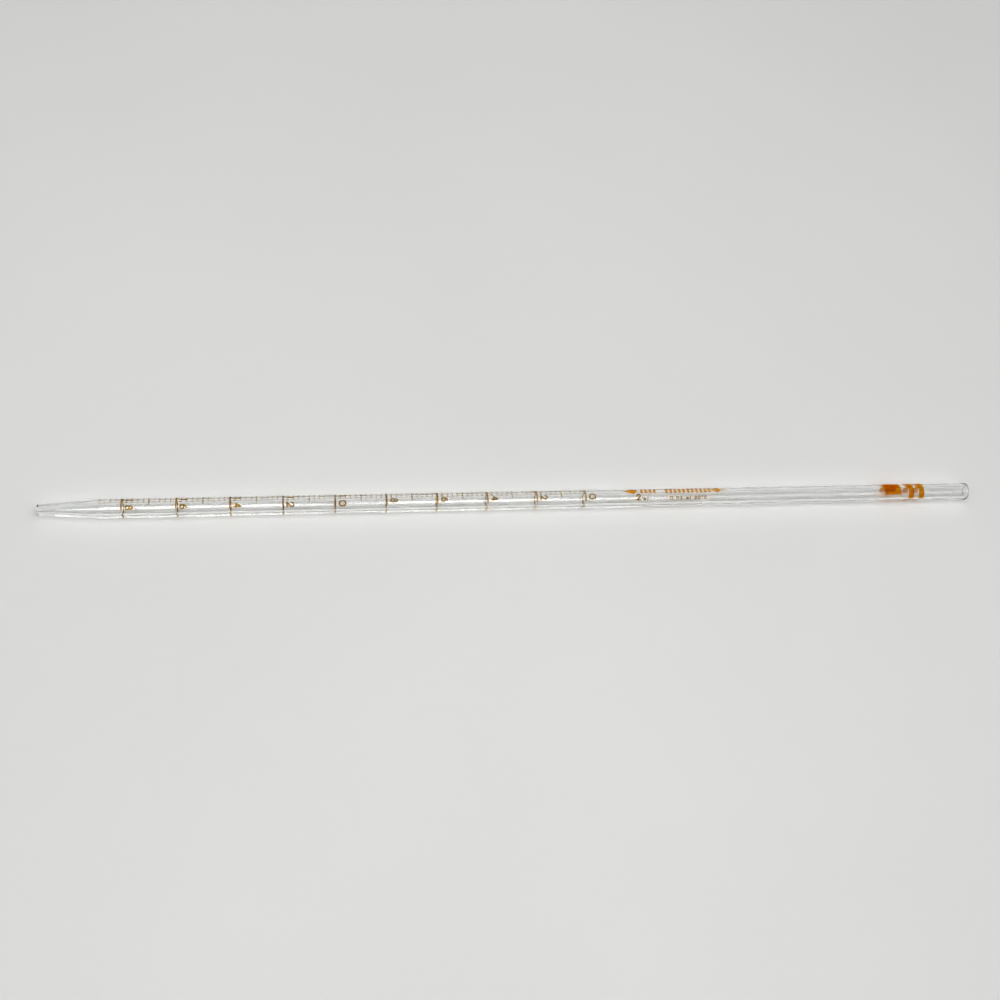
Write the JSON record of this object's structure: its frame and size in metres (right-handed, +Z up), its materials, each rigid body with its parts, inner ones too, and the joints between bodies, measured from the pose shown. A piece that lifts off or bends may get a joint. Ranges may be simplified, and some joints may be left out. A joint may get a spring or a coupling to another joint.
{
  "type": "serological pipette",
  "caption": "Straight thick-walled glass serological pipette with a drawn delivery tip, an open bore, an amber graduation with numerals, a capacity band and blow-out rings.",
  "frame": {"origin": "under the middle of the pipette's length, at the lowest point of the tube as it lies on a bench", "axes": "+X along the bore from the delivery tip to the mouthpiece, +Z up, with the numerals on top"},
  "size_m": [0.3408, 0.0066, 0.0066],
  "materials": {
    "borosilicate_glass": "gloss",
    "amber_stain": "gloss"
  },
  "bodies": {
    "root": {"capacity_band": "amber_stain", "capacity_text": "amber_stain", "delivery_tip": "borosilicate_glass", "division_text": "amber_stain", "fine_lines_000": "amber_stain", "fine_lines_020": "amber_stain", "fine_lines_040": "amber_stain", "fine_lines_060": "amber_stain", "fine_lines_080": "amber_stain", "fine_lines_100": "amber_stain", "fine_lines_120": "amber_stain", "fine_lines_140": "amber_stain", "fine_lines_160": "amber_stain", "fine_lines_180": "amber_stain", "half_line_010": "amber_stain", "half_line_030": "amber_stain", "half_line_050": "amber_stain", "half_line_070": "amber_stain", "half_line_090": "amber_stain", "half_line_110": "amber_stain", "half_line_130": "amber_stain", "half_line_150": "amber_stain", "half_line_170": "amber_stain", "large_bar_row": "amber_stain", "left_pointed_mark": "amber_stain", "lower_blow_out_ring": "amber_stain", "measuring_tube": "borosilicate_glass", "mouthpiece": "borosilicate_glass", "numeral_000": "amber_stain", "numeral_020": "amber_stain", "numeral_040": "amber_stain", "numeral_060": "amber_stain", "numeral_080": "amber_stain", "numeral_100": "amber_stain", "numeral_120": "amber_stain", "numeral_140": "amber_stain", "numeral_160": "amber_stain", "numeral_180": "amber_stain", "right_pointed_mark": "amber_stain", "ring_line_000": "amber_stain", "ring_line_020": "amber_stain", "ring_line_040": "amber_stain", "ring_line_060": "amber_stain", "ring_line_080": "amber_stain", "ring_line_100": "amber_stain", "ring_line_120": "amber_stain", "ring_line_140": "amber_stain", "ring_line_160": "amber_stain", "ring_line_180": "amber_stain", "small_bar_row": "amber_stain", "suction_stem": "borosilicate_glass", "upper_blow_out_ring": "amber_stain"}
  },
  "joints": []
}
